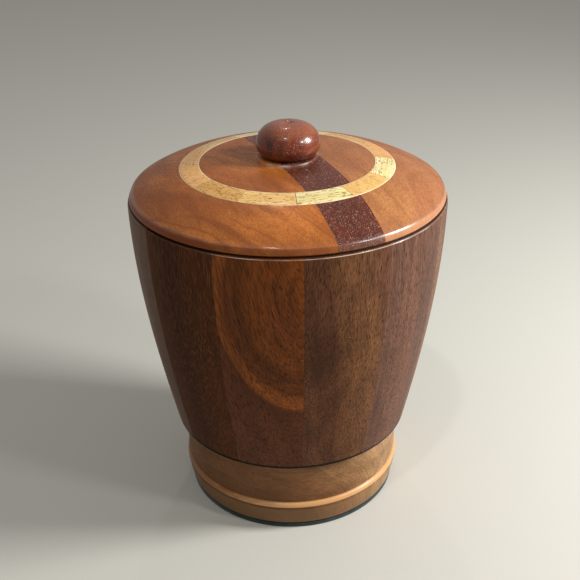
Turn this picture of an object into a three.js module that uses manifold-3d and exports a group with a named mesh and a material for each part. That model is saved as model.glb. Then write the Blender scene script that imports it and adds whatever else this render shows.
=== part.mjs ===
// A lidded jar: twelve staves on a turned foot, and a lift-off lid with an inlaid ring and a knob.
// Millimetres, +Z up. The origin is the middle of the felt's underside, where the jar stands.
// Azimuths are in degrees from the front, -Y, and grow towards +X.

import * as THREE from "three";
import { mergeVertices } from "three/addons/utils/BufferGeometryUtils.js";
import Module from "manifold-3d";

// Gaps
const glueLine = 0.3; // between two glued faces
const tenonFit = 0.5; // between the lid's tenon and the mouth, on the radius
const lidSeatGap = 0.3; // between the lid's rim and the staves that it rests on

// Felt pad
const feltThickness = 2.2;
const feltInset = 0.3; // how far the felt's edge stays inside the foot's

// Foot
const footHeight = 33.1; // from its underside to the shoulder that carries the staves
const footUndersideRadius = 47.7;
const footEdgeEase = 0.8;
const beadRadius = 49.3;
const beadHeight = 11.9;
const beadWidestHeight = 10.1; // of the bead's widest ring, over the foot's underside
const beadFullness = 1.4; // over 1 its side bulges between the underside and the widest ring
const creaseRadius = 48; // where the bead meets the neck
const neckRadius = 48.5;
const spigotHeight = 6; // of the spigot inside the staves, whose top is the jar's floor

// Staves
const staveCount = 12;
const firstJointAzimuth = 4.8;
const staveHeight = 104.2;
const wallThickness = 8;
const bodyFootRadius = 52.25; // outside of the body at the bottom of the staves
const bowRadius = 59.65; // that the outline bows towards before it stands upright at the mouth
const mouthOuterRadius = 66;
const lowerEdgeRound = 0.7;
const rimRound = 1.4;
const mouthEase = 0.8; // of the staves' inner top edge

// Lid
const rimInset = 0.7; // how far the lid's rim stays inside the mouth's outside
const rimHeight = 3; // from the rim's underside to the shoulder
const rimBevel = 1; // how far the shoulder lies inside the rim
const rimEdgeRound = 0.7;
const shoulderEase = 0.4;
const crownRise = 11.4; // of the domed top over the shoulder
const crownPower = 3.4; // how flat the dome is in the middle
const tenonDepth = 4.7;
const tenonEase = 0.8;
const bossRadius = 12.4; // of the low boss under the knob
const bossRise = 0.8;
const boardTurn = 22; // azimuth along which the boards run
const stripWidth = 19;
const stripOffset = 2.8; // of the strip's middle from the lid's middle

// Inlaid ring
const ringSegmentCount = 12;
const ringJointAzimuth = 4.5;
const ringInset = 19.9; // from the lid's shoulder to the ring's outside
const ringWidth = 8.5;
const ringDepth = 5; // of the groove under the lid's top at its inner wall

// Knob
const knobRadius = 13.2;
const knobHeight = 13.4;
const knobWidestHeight = 4.5; // of its widest ring, over its underside
const knobBaseRadius = 10;
const knobFullness = 0.66; // under 1 the upper half is fuller than an ellipse
const knobUndercut = 1.7; // over 1 the lower half is leaner than an ellipse
const knobOffset = 0.55; // how far towards +X it stands off the lid's middle
const knobTenonRadius = 4.8;
const knobTenonLength = 12;
const dimpleRadius = 3;
const dimpleDepth = 0.7;

// Facets
const facetsPerStave = 5;
const lidFacets = 60;
const knobFacets = 36;

const wasm = await Module();
wasm.setup();

const radians = THREE.MathUtils.degToRad;
const point = (radius, height) => new THREE.Vector2(radius, height);

// Points of an ellipse's arc about a centre, from one angle to another in degrees, 0 outwards and 90 up.
function arc(centre, across, up, fromAngle, toAngle, steps) {
  const points = [];
  for (let i = 0; i <= steps; i++) {
    const angle = radians(fromAngle + ((toAngle - fromAngle) * i) / steps);
    points.push(point(centre.x + across * Math.cos(angle), centre.y + up * Math.sin(angle)));
  }
  return points;
}

// A profile of radius and height, turned about Z.
function turned(profile, facets) {
  return new THREE.LatheGeometry(profile, facets).rotateX(Math.PI / 2);
}

function solidFrom(geometry) {
  const bare = geometry.clone();
  bare.deleteAttribute("normal");
  bare.deleteAttribute("uv");
  const merged = mergeVertices(bare, 1e-4);
  const vertProperties = merged.attributes.position.array;
  const triVerts = new Uint32Array(merged.index.array);
  return new wasm.Manifold(new wasm.Mesh({ numProp: 3, vertProperties, triVerts }));
}

function geometryFrom(solid) {
  const { vertProperties, triVerts } = solid.getMesh();
  const geometry = new THREE.BufferGeometry();
  geometry.setAttribute("position", new THREE.BufferAttribute(vertProperties, 3));
  geometry.setIndex(new THREE.BufferAttribute(triVerts, 1));
  geometry.computeVertexNormals();
  return geometry;
}

// A block whose outline in plan is a polygon, between two heights.
function block(outline, low, high) {
  const shape = new THREE.Shape(outline);
  const geometry = new THREE.ExtrudeGeometry(shape, { depth: high - low, bevelEnabled: false });
  return solidFrom(geometry.translate(0, 0, low));
}

// The sector between two azimuths, whose flanks both stay half a glue line inside.
function sector(fromAzimuth, toAzimuth, reach, low, high) {
  const middle = radians((fromAzimuth + toAzimuth) / 2);
  const half = radians((toAzimuth - fromAzimuth) / 2);
  const tip = glueLine / 2 / Math.sin(half);
  const towards = (azimuth, distance) =>
    point(distance * Math.sin(azimuth), -distance * Math.cos(azimuth));
  const apex = towards(middle, tip);
  const far = (2 * reach) / Math.cos(half);
  const outline = [
    apex,
    towards(middle - half, far).add(apex),
    towards(middle + half, far).add(apex),
  ];
  return block(outline, low, high);
}

function material(color, roughness) {
  return new THREE.MeshStandardMaterial({ color, roughness, metalness: 0 });
}

function node(name, geometry, look) {
  const mesh = new THREE.Mesh(geometry, look);
  mesh.name = name;
  return mesh;
}

const numbered = (name, index) => `${name}_${String(index + 1).padStart(2, "0")}`;

const woods = {
  darkStave: material(0x4a2c20, 0.45),
  redStave: material(0x6b3e28, 0.45),
  foot: material(0x84522c, 0.4),
  felt: material(0x1c3a38, 0.95),
  board: material(0xa35a2e, 0.35),
  strip: material(0x3d1a1c, 0.35),
  ring: material(0xd8ac63, 0.35),
  knob: material(0x6e2d1e, 0.25),
};

// Heights and radii that follow from the sizes above
const footUnderside = feltThickness + glueLine;
const footShoulder = footUnderside + footHeight;
const staveUnderside = footShoulder + glueLine;
const mouthHeight = staveUnderside + staveHeight;
const lidSeat = mouthHeight + lidSeatGap;
const lowerInnerRadius = bodyFootRadius - wallThickness;
const mouthInnerRadius = mouthOuterRadius - wallThickness;
const rimRadius = mouthOuterRadius - rimInset;
const shoulderRadius = rimRadius - rimBevel;
const ringOuterRadius = shoulderRadius - ringInset;
const ringInnerRadius = ringOuterRadius - ringWidth;
const bodyReach = Math.max(bodyFootRadius, bowRadius, mouthOuterRadius);
const turnedFacets = staveCount * facetsPerStave;

function makeFelt() {
  const radius = footUndersideRadius - feltInset;
  const profile = [point(0, 0), point(radius, 0), point(radius, feltThickness), point(0, feltThickness)];
  return node("felt_pad", turned(profile, turnedFacets), woods.felt);
}

function makeFoot() {
  const spigotRadius = lowerInnerRadius - glueLine;
  const sideSteps = 4;
  const side = [];
  for (let i = 0; i <= sideSteps; i++) {
    const share = i / sideSteps;
    const swell = (beadRadius - footUndersideRadius) * (1 - (1 - share) ** beadFullness);
    const height = footEdgeEase + (beadWidestHeight - footEdgeEase) * share;
    side.push(point(footUndersideRadius + swell, height));
  }
  const upperAcross = beadRadius - creaseRadius;
  const upperRise = beadHeight - beadWidestHeight;
  const profile = [
    point(0, 0),
    point(footUndersideRadius - footEdgeEase, 0),
    ...side,
    ...arc(point(creaseRadius, beadWidestHeight), upperAcross, upperRise, 0, 90, 4).slice(1),
    point(neckRadius, beadHeight + neckRadius - creaseRadius),
    point(neckRadius, footHeight),
    point(spigotRadius, footHeight),
    point(spigotRadius, footHeight + spigotHeight),
    point(0, footHeight + spigotHeight),
  ];
  const foot = node("foot", turned(profile, turnedFacets), woods.foot);
  foot.position.z = footUnderside;
  return foot;
}

// The staves' wall all round, from their lower ends at height 0.
function makeWall() {
  const outline = new THREE.CubicBezierCurve(
    point(bodyFootRadius, 0),
    point(bowRadius, staveHeight / 3),
    point(mouthOuterRadius, (2 * staveHeight) / 3),
    point(mouthOuterRadius, staveHeight),
  );
  const steps = 9;
  const low = lowerEdgeRound / staveHeight;
  const high = 1 - rimRound / staveHeight;
  const rise = [];
  for (let i = 0; i <= steps; i++) rise.push(outline.getPoint(low + ((high - low) * i) / steps));
  const inside = rise.slice(1, -1).map((p) => point(p.x - wallThickness, p.y)).reverse();
  const lowest = rise[0];
  const highest = rise[steps];
  const profile = [
    point(lowerInnerRadius, 0),
    ...arc(point(lowest.x - lowerEdgeRound, lowest.y), lowerEdgeRound, lowerEdgeRound, -90, 0, 3),
    ...rise.slice(1, -1),
    ...arc(point(highest.x - rimRound, highest.y), rimRound, rimRound, 0, 90, 3),
    point(mouthInnerRadius + mouthEase, staveHeight),
    point(mouthInnerRadius, staveHeight - mouthEase),
    ...inside,
    point(lowerInnerRadius, 0),
  ];
  return solidFrom(turned(profile, turnedFacets));
}

function makeJar() {
  const jar = new THREE.Group();
  jar.add(makeFelt(), makeFoot());
  const step = 360 / staveCount;
  const cut = sector(0, step, bodyReach, -1, staveHeight + 1);
  const stave = geometryFrom(makeWall().intersect(cut));
  for (let i = 0; i < staveCount; i++) {
    const mesh = node(numbered("stave", i), stave, i % 3 === 2 ? woods.redStave : woods.darkStave);
    mesh.rotation.z = radians(firstJointAzimuth + i * step);
    mesh.position.z = staveUnderside;
    jar.add(mesh);
  }
  return jar;
}

// Height of the domed top over the rim's underside.
function crownHeight(radius) {
  return rimHeight + crownRise * (1 - (radius / shoulderRadius) ** crownPower);
}

// The lid as one turned blank, before its groove and hole. Height 0 is the rim's underside.
function makeLidBlank() {
  const tenonRadius = mouthInnerRadius - tenonFit;
  const crownEdge = shoulderRadius - shoulderEase;
  const crownSteps = 10;
  const crown = [];
  for (let i = 0; i <= crownSteps; i++) {
    const radius = crownEdge + ((bossRadius - crownEdge) * i) / crownSteps;
    crown.push(point(radius, crownHeight(radius)));
  }
  const bossTop = crownHeight(0) + bossRise;
  const rimEdge = point(rimRadius - rimEdgeRound, rimEdgeRound);
  const profile = [
    point(0, -tenonDepth),
    point(tenonRadius - tenonEase, -tenonDepth),
    point(tenonRadius, tenonEase - tenonDepth),
    point(tenonRadius, 0),
    ...arc(rimEdge, rimEdgeRound, rimEdgeRound, -90, 0, 3),
    point(shoulderRadius, rimHeight - shoulderEase),
    ...crown,
    point(bossRadius - bossRise, bossTop),
    point(0, bossTop),
  ];
  return solidFrom(turned(profile, lidFacets));
}

// A full ring of rectangular section, to cut the groove or the inlay.
function ringBlank(inner, outer, low, high) {
  const profile = [
    point(inner, low),
    point(outer, low),
    point(outer, high),
    point(inner, high),
    point(inner, low),
  ];
  return solidFrom(turned(profile, lidFacets));
}

// The part of the lid between two distances across the boards.
function boardBlock(fromOffset, toOffset) {
  const turn = radians(boardTurn);
  const length = 2 * rimRadius;
  const corner = (across, along) =>
    point(
      across * Math.cos(turn) + along * Math.sin(turn),
      across * Math.sin(turn) - along * Math.cos(turn),
    );
  const outline = [
    corner(fromOffset, -length),
    corner(fromOffset, length),
    corner(toOffset, length),
    corner(toOffset, -length),
  ];
  return block(outline, -tenonDepth - 1, rimHeight + crownRise + bossRise + 1);
}

// Height of the knob's upper half over its underside, without the dimple.
function knobTop(radius) {
  const rise = knobHeight - knobWidestHeight;
  return knobWidestHeight + rise * Math.sqrt(1 - (radius / knobRadius) ** (2 / knobFullness));
}

function makeKnob(seat) {
  const bulge = knobRadius - knobBaseRadius;
  const lowerSteps = 5;
  const lower = [];
  for (let i = 0; i <= lowerSteps; i++) {
    const angle = (Math.PI / 2) * (i / lowerSteps - 1);
    const radius = knobBaseRadius + bulge * Math.cos(angle) ** knobUndercut;
    lower.push(point(radius, knobWidestHeight * (1 + Math.sin(angle))));
  }
  const steps = 10;
  const upper = [];
  for (let i = 1; i < steps; i++) {
    const radius = knobRadius * Math.cos((Math.PI / 2) * (i / steps)) ** knobFullness;
    if (radius > dimpleRadius) upper.push(point(radius, knobTop(radius)));
  }
  const dimple = [1, 2 / 3, 1 / 3, 0].map((share) => {
    const radius = share * dimpleRadius;
    return point(radius, knobTop(radius) - dimpleDepth * (1 - share ** 2) ** 2);
  });
  const profile = [
    point(0, -knobTenonLength),
    point(knobTenonRadius, -knobTenonLength),
    point(knobTenonRadius, 0),
    ...lower,
    ...upper,
    ...dimple,
  ];
  const knob = node("knob", turned(profile, knobFacets), woods.knob);
  knob.position.set(knobOffset, 0, seat);
  return knob;
}

function makeLid() {
  const lid = new THREE.Group();
  lid.position.z = lidSeat;
  const blank = makeLidBlank();
  const top = rimHeight + crownRise + bossRise;
  const grooveFloor = crownHeight(ringInnerRadius) - ringDepth;
  const groove = ringBlank(ringInnerRadius, ringOuterRadius, grooveFloor, top + 1);
  const holeRadius = knobTenonRadius + glueLine;
  const holeFloor = top - knobTenonLength;
  const hole = block(circle(knobOffset, 0, holeRadius, knobFacets), holeFloor, top + 1);
  const grooved = blank.subtract(groove).subtract(hole);

  const stripLeft = stripOffset - stripWidth / 2;
  const stripRight = stripOffset + stripWidth / 2;
  const farSide = 2 * rimRadius;
  const boards = [
    ["lid_board_left", -farSide, stripLeft - glueLine / 2, woods.board],
    ["lid_centre_strip", stripLeft + glueLine / 2, stripRight - glueLine / 2, woods.strip],
    ["lid_board_right", stripRight + glueLine / 2, farSide, woods.board],
  ];
  for (const [name, from, to, look] of boards)
    lid.add(node(name, geometryFrom(grooved.intersect(boardBlock(from, to))), look));

  const inlay = blank.intersect(
    ringBlank(ringInnerRadius + glueLine, ringOuterRadius - glueLine, grooveFloor + glueLine, top),
  );
  const step = 360 / ringSegmentCount;
  const cut = sector(ringJointAzimuth, ringJointAzimuth + step, ringOuterRadius, grooveFloor, top);
  const segment = geometryFrom(inlay.intersect(cut));
  for (let i = 0; i < ringSegmentCount; i++) {
    const mesh = node(numbered("ring_segment", i), segment, woods.ring);
    mesh.rotation.z = radians(i * step);
    lid.add(mesh);
  }
  lid.add(makeKnob(top + glueLine));
  return lid;
}

function circle(x, y, radius, facets) {
  const outline = [];
  for (let i = 0; i < facets; i++) {
    const angle = (2 * Math.PI * i) / facets;
    outline.push(point(x + radius * Math.cos(angle), y + radius * Math.sin(angle)));
  }
  return outline;
}

const jarWithLid = new THREE.Group();
jarWithLid.add(makeJar(), makeLid());

export default jarWithLid;
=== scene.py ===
# Looks of a lidded wooden jar: staves on a turned foot, a lift-off lid with an inlaid ring,
# and a knob.
# Metres, +Z up. Azimuths are in degrees from the front, -Y, and grow towards +X.
import math

import bpy
from mathutils import Matrix, Vector


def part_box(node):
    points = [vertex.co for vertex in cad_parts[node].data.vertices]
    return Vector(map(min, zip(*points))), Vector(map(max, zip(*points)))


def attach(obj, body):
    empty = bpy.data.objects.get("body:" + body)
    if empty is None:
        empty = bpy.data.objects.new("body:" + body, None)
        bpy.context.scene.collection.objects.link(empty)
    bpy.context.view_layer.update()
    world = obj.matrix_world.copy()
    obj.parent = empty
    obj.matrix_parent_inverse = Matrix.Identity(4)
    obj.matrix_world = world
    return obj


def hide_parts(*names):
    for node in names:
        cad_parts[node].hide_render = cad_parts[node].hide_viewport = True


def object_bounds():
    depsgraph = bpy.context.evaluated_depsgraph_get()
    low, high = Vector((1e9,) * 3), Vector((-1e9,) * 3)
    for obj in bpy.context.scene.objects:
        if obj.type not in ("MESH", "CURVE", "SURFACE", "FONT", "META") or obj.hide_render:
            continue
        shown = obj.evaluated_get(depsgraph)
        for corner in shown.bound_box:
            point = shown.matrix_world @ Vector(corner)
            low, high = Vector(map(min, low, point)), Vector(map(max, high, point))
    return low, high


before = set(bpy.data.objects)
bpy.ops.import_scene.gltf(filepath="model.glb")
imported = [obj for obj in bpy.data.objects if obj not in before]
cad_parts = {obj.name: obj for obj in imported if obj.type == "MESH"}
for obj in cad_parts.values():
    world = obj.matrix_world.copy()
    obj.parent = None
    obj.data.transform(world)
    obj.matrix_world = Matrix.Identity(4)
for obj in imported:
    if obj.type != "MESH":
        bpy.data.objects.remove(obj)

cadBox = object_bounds()
print("frame loaded:", len(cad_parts), "nodes")

mm = 0.001


# Modelling tools

modelling = {
    "corners": 240,  # of a turned piece
    "nearness": 0.001 * mm,  # under which two corners, or a corner and a cut, are at one place
    "smoothAngle": 30,
}


def deselectAll():
    if bpy.context.object and bpy.context.object.mode != "OBJECT":
        bpy.ops.object.mode_set(mode="OBJECT")
    bpy.ops.object.select_all(action="DESELECT")


def pick(piece):
    deselectAll()
    piece.select_set(True)
    bpy.context.view_layer.objects.active = piece


def arc(radius, height, across, up, fromAngle, toAngle, steps):
    # outline points of an ellipse's arc about a centre, 0 outwards and 90 up
    points = []
    for i in range(steps + 1):
        angle = math.radians(fromAngle + (toAngle - fromAngle) * i / steps)
        points.append((radius + across * math.cos(angle), height + up * math.sin(angle)))
    return points


def turned(name, outline, corners=modelling["corners"], centre=(0, 0)):
    # a circle is extruded and scaled from one outline point to the next, and open ends
    # are filled flat
    deselectAll()
    radius, height = outline[0]
    bpy.ops.mesh.primitive_circle_add(vertices=corners, radius=radius, location=(*centre, height))
    piece = bpy.context.object
    piece.name = piece.data.name = name
    bpy.ops.object.transform_apply(location=True)
    bpy.ops.object.mode_set(mode="EDIT")
    bpy.ops.mesh.select_all(action="SELECT")
    for nextRadius, nextHeight in outline[1:]:
        move = {"value": (0, 0, nextHeight - height)}
        bpy.ops.mesh.extrude_edges_move(TRANSFORM_OT_translate=move)
        size = nextRadius / radius
        bpy.ops.transform.resize(value=(size, size, 1), center_override=(*centre, nextHeight))
        radius, height = nextRadius, nextHeight
    bpy.ops.mesh.select_all(action="SELECT")
    bpy.ops.mesh.remove_doubles(threshold=modelling["nearness"])
    bpy.ops.mesh.fill_holes(sides=0)
    bpy.ops.mesh.normals_make_consistent(inside=False)
    bpy.ops.object.mode_set(mode="OBJECT")
    return piece


def cutAway(piece, point, normal):
    # removes what lies beyond the plane on the normal's side, and closes the cut
    pick(piece)
    bpy.ops.object.mode_set(mode="EDIT")
    bpy.ops.mesh.select_all(action="SELECT")
    bpy.ops.mesh.bisect(plane_co=point, plane_no=normal, use_fill=True, clear_outer=True,
                        threshold=modelling["nearness"])
    bpy.ops.object.mode_set(mode="OBJECT")


def cutSector(piece, fromAzimuth, toAzimuth, gap):
    # keeps the part between two azimuths, each face half a gap inside
    for azimuth, side in ((fromAzimuth, -1), (toAzimuth, 1)):
        angle = math.radians(azimuth)
        along = (side * math.cos(angle), side * math.sin(angle), 0)
        cutAway(piece, [-a * gap / 2 for a in along], along)


def copyTurned(piece, name, angle):
    pick(piece)
    bpy.ops.object.duplicate()
    copy = bpy.context.object
    copy.name = copy.data.name = name
    copy.rotation_euler.z = angle
    bpy.ops.object.transform_apply(rotation=True)
    return copy


def subtract(piece, cutter):
    pick(piece)
    cut = piece.modifiers.new("cut", "BOOLEAN")
    cut.operation = "DIFFERENCE"
    cut.solver = "EXACT"
    cut.object = cutter
    bpy.ops.object.modifier_apply(modifier=cut.name)


def settle(piece, node, body, material):
    # the finished piece rides with its body and stands for its CAD node
    pick(piece)
    bpy.ops.object.shade_smooth_by_angle(angle=math.radians(modelling["smoothAngle"]))
    piece.data.materials.clear()
    piece.data.materials.append(material)
    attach(piece, body)
    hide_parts(node)


# Shader tools

def linear(code):
    # a colour written as six hex digits, as a renderer wants it
    channels = [int(code[i:i + 2], 16) / 255 for i in (0, 2, 4)]
    return [c / 12.92 if c <= 0.04045 else ((c + 0.055) / 1.055) ** 2.4 for c in channels] + [1]


def add(tree, kind, inputs=None, **settings):
    # a node, its settings, and its inputs as values or as other nodes' sockets
    node = tree.nodes.new(kind)
    for key, value in settings.items():
        setattr(node, key, value)
    for key, value in (inputs or {}).items():
        if isinstance(value, bpy.types.NodeSocket):
            tree.links.new(value, node.inputs[key])
        else:
            node.inputs[key].default_value = value
    return node


def calc(tree, operation, *values):
    return add(tree, "ShaderNodeMath", dict(enumerate(values)), operation=operation).outputs[0]


def scaled(tree, vector, sizes):
    return add(tree, "ShaderNodeVectorMath", {0: vector, 1: sizes}, operation="MULTIPLY").outputs[0]


def noise(tree, vector, scale=1.0, detail=2.0):
    inputs = {"Vector": vector, "Scale": scale, "Detail": detail}
    return add(tree, "ShaderNodeTexNoise", inputs).outputs["Fac"]


def blend(tree, factor, first, second):
    inputs = {0: factor, 6: first, 7: second}  # 6 and 7 are a mix node's colours
    return add(tree, "ShaderNodeMix", inputs, data_type="RGBA").outputs[2]


def between(tree, value, low, high):
    # 0 below low, 1 above high, smooth in the middle
    inputs = {"Value": value, "From Min": low, "From Max": high}
    return add(tree, "ShaderNodeMapRange", inputs, interpolation_type="SMOOTHSTEP").outputs[0]


def newGroup(name, vectors, floats, outputs):
    # a node group with named sockets, what it is given and what it results in
    group = bpy.data.node_groups.new(name, "ShaderNodeTree")
    sockets = [(label, "INPUT", "NodeSocketVector") for label in vectors]
    sockets += [(label, "INPUT", "NodeSocketFloat") for label in floats]
    sockets += [(label, "OUTPUT", "NodeSocketFloat") for label in outputs]
    for label, side, kind in sockets:
        group.interface.new_socket(label, in_out=side, socket_type=kind)
    given = group.nodes.new("NodeGroupInput").outputs
    result = group.nodes.new("NodeGroupOutput").inputs
    return group, given, result


def newMaterial(name):
    # an empty material, its tree, and the place on the object
    material = bpy.data.materials.new(name)
    material.use_nodes = True
    tree = material.node_tree
    tree.nodes.clear()
    return material, tree, add(tree, "ShaderNodeTexCoord").outputs["Object"]


def addSurface(tree, inputs):
    surface = add(tree, "ShaderNodeBsdfPrincipled", inputs)
    add(tree, "ShaderNodeOutputMaterial", {"Surface": surface.outputs[0]})


# How every wood's figure is drawn. Scales are per metre, and an edge is where a mask starts
# and where it is full.
woodFigure = {
    "swayScale": (60, 60, 16),
    "unevenScale": 700,
    "lateRise": (0.35, 0.9),
    "lateFall": (1, 0.92),
    "streakEdge": (0.5, 0.68),
    "fanHeight": 90 * mm,
    "poreEdge": 0.12,
    "fibreStretch": (0.7, 0.7, 0.12),
    "fibreEdge": (0.38, 0.66),
    "mottleScale": (150, 150, 55),
    "mottleEdge": (0.4, 0.64),
    "bareScale": 45,
    "bareEdge": (0.6, 0.45),
    "raggedScale": (320, 320, 45),
    "raggedDepth": 1.4,
    "patchEdge": (1.05, 0.35),
    "fibreRoughness": 0.16,
    "poreRoughness": 0.15,
    "fibreHeight": 0.5,
}


def makeGrowthRings():
    # a board's place in its tree, as the distance from the pith. Board space has z along the grain
    group, given, result = newGroup(
        "growth rings", ["Position"],
        ["Pith Side", "Pith Depth", "Side Lean", "Depth Lean", "Waviness", "Ring Width",
         "Streak Width", "Streak Length"],
        ["Distance", "Latewood", "Streaks"])
    axes = add(group, "ShaderNodeSeparateXYZ", {0: given["Position"]}).outputs
    sway = noise(group, scaled(group, given["Position"], woodFigure["swayScale"]))
    swayed = calc(group, "MULTIPLY", calc(group, "SUBTRACT", sway, 0.5), given["Waviness"])
    side = calc(group, "SUBTRACT", axes["X"], given["Pith Side"])
    side = calc(group, "ADD", side, calc(group, "MULTIPLY", axes["Z"], given["Side Lean"]))
    depth = calc(group, "SUBTRACT", given["Pith Depth"], axes["Y"])
    depth = calc(group, "ADD", depth, calc(group, "MULTIPLY", axes["Z"], given["Depth Lean"]))
    squares = calc(group, "ADD", calc(group, "MULTIPLY", side, side),
                   calc(group, "MULTIPLY", depth, depth))
    distance = calc(group, "ADD", calc(group, "SQRT", squares), swayed)
    outwards = add(group, "ShaderNodeCombineXYZ", {0: distance}).outputs[0]
    uneven = noise(group, outwards, woodFigure["unevenScale"], 1.0)
    turns = calc(group, "ADD", calc(group, "DIVIDE", distance, given["Ring Width"]), uneven)
    ring = calc(group, "FRACT", turns)
    rise = between(group, ring, *woodFigure["lateRise"])
    fall = between(group, ring, *woodFigure["lateFall"])
    figure = add(group, "ShaderNodeCombineXYZ",
                 {0: calc(group, "DIVIDE", distance, given["Streak Width"]),
                  2: calc(group, "DIVIDE", axes["Z"], given["Streak Length"])}).outputs[0]
    streaks = noise(group, figure, 1.0, 3.0)
    group.links.new(distance, result["Distance"])
    group.links.new(calc(group, "MULTIPLY", rise, fall), result["Latewood"])
    group.links.new(between(group, streaks, *woodFigure["streakEdge"]), result["Streaks"])
    return group


def makeGrain():
    # pores are short streaks along the grain, fibres longer and softer ones, and mottle
    # broad patches
    group, given, result = newGroup(
        "wood grain", ["Position"],
        ["Slant", "Fan", "Pore Width", "Pore Length", "Pore Cover", "Seed"],
        ["Pores", "Fibres", "Mottle"])
    axes = add(group, "ShaderNodeSeparateXYZ", {0: given["Position"]}).outputs
    lean = calc(group, "ADD", given["Slant"], calc(group, "MULTIPLY", axes["X"], given["Fan"]))
    middle = calc(group, "SUBTRACT", axes["Z"], woodFigure["fanHeight"])
    across = calc(group, "ADD", axes["X"], calc(group, "MULTIPLY", middle, lean))
    along = calc(group, "ADD", axes["Z"], given["Seed"])
    cell = add(group, "ShaderNodeCombineXYZ",
               {0: calc(group, "DIVIDE", across, given["Pore Width"]),
                1: calc(group, "DIVIDE", axes["Y"], given["Pore Width"]),
                2: calc(group, "DIVIDE", along, given["Pore Length"])}).outputs[0]
    pores = noise(group, cell, 1.0, 1.0)
    full = calc(group, "ADD", given["Pore Cover"], woodFigure["poreEdge"])
    fibres = noise(group, scaled(group, cell, woodFigure["fibreStretch"]), 1.0, 4.0)
    patches = add(group, "ShaderNodeCombineXYZ", {0: across, 1: axes["Y"], 2: along}).outputs[0]
    mottle = noise(group, scaled(group, patches, woodFigure["mottleScale"]), 1.0, 3.0)
    group.links.new(between(group, pores, given["Pore Cover"], full), result["Pores"])
    group.links.new(fibres, result["Fibres"])
    group.links.new(mottle, result["Mottle"])
    return group


dust = {
    "spacing": 13 * mm,
    "size": 0.16 * mm,
    "tone": "b5a894",
    "bareShare": 0.6,
}


def makeDust():
    # a few pale specks that lie on the lacquer
    group, given, result = newGroup("dust specks", ["Position"], ["Spacing", "Size"], ["Specks"])
    scale = calc(group, "DIVIDE", 1.0, given["Spacing"])
    cells = add(group, "ShaderNodeTexVoronoi", {"Vector": given["Position"], "Scale": scale})
    chance = add(group, "ShaderNodeSeparateColor", {0: cells.outputs["Color"]}).outputs[0]
    reach = calc(group, "MULTIPLY", given["Size"], scale)
    near = calc(group, "LESS_THAN", cells.outputs["Distance"], reach)
    dusty = calc(group, "GREATER_THAN", chance, dust["bareShare"])
    group.links.new(calc(group, "MULTIPLY", near, dusty), result["Specks"])
    return group


def makeHeightBand():
    # what lies between two heights, for bands of painted shade, painted highlight and other tones
    # along turned edges. It may come in patches
    group, given, result = newGroup(
        "height band", ["Position"], ["From", "To", "Fade", "Patchiness"], ["Mask"])
    height = add(group, "ShaderNodeSeparateXYZ", {0: given["Position"]}).outputs["Z"]
    below = calc(group, "SUBTRACT", given["From"], given["Fade"])
    above = calc(group, "ADD", given["To"], given["Fade"])
    rise = between(group, height, below, given["From"])
    fall = between(group, height, above, given["To"])
    patches = noise(group, given["Position"], woodFigure["bareScale"], 3.0)
    bare = between(group, patches, *woodFigure["bareEdge"])
    kept = calc(group, "SUBTRACT", 1.0, calc(group, "MULTIPLY", bare, given["Patchiness"]))
    mask = calc(group, "MULTIPLY", calc(group, "MULTIPLY", rise, fall), kept)
    group.links.new(mask, result["Mask"])
    return group


def makeSoftPatch():
    # a ragged oval of another tone in the wood
    group, given, result = newGroup("soft patch", ["Position", "Middle", "Reach"], [], ["Mask"])
    offset = add(group, "ShaderNodeVectorMath", {0: given["Position"], 1: given["Middle"]},
                 operation="SUBTRACT").outputs[0]
    shares = add(group, "ShaderNodeVectorMath", {0: offset, 1: given["Reach"]},
                 operation="DIVIDE").outputs[0]
    far = add(group, "ShaderNodeVectorMath", {0: shares}, operation="LENGTH").outputs["Value"]
    ragged = noise(group, scaled(group, given["Position"], woodFigure["raggedScale"]), 1.0, 3.0)
    centred = calc(group, "SUBTRACT", ragged, 0.5)
    edge = calc(group, "ADD", far, calc(group, "MULTIPLY", centred, woodFigure["raggedDepth"]))
    group.links.new(between(group, edge, *woodFigure["patchEdge"]), result["Mask"])
    return group


growthRings = makeGrowthRings()
woodGrain = makeGrain()
dustSpecks = makeDust()
heightBand = makeHeightBand()
softPatch = makeSoftPatch()

# What every wood here starts from. A patch is its middle and reach in the board's space, a tone
# and its depth, and a shade patch is the same laid over the edge marks, as painted shade.
plainWood = {
    "edgeMarks": [],
    "patches": [],
    "shadePatches": [],
    "streakWidth": 1.2 * mm,
    "streakLength": 40 * mm,
    "streakDepth": 0.35,
    "sideLean": 0.0,
    "depthLean": 0.0,
    "waviness": 1.5 * mm,
    "ringWidth": 3 * mm,
    "ringDepth": 0.3,
    "slant": 0.0,
    "fan": 0.0,
    "poreWidth": 0.34 * mm,
    "poreLength": 5.5 * mm,
    "poreCover": 0.52,
    "poreDepth": 0.6,
    "fibreDepth": 0.5,
    "mottleDepth": 0.3,
    "seed": 0.0,
    "roughness": 0.46,
    "shine": 0.1,
    "lacquer": 0.0,
    "lacquerRoughness": 0.2,
    "relief": 0.2,
    "reliefSize": 0.1 * mm,
}


def standing(azimuth):
    # turns object space to a standing board's: x to the right seen from outside, -y outwards,
    # z along it
    return Matrix.Rotation(-math.radians(azimuth), 3, "Z").to_euler()


def lying(azimuth):
    # turns object space to a lying board's: its length along the azimuth, y up
    flat = Matrix.Rotation(-math.pi / 2, 3, "X") @ Matrix.Rotation(-math.radians(azimuth), 3, "Z")
    return flat.to_euler()


def setInputs(node, values):
    for label, value in values.items():
        node.inputs[label].default_value = value


def edgeMark(low, high, tone, depth, fade=0.15 * mm, patchy=0.0, gloss=0.0):
    # a tone between two heights, whole or in patches, and how much lacquer shows there
    return {"low": low, "high": high, "tone": tone, "depth": depth, "fade": fade,
            "patchy": patchy, "gloss": gloss}


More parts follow.
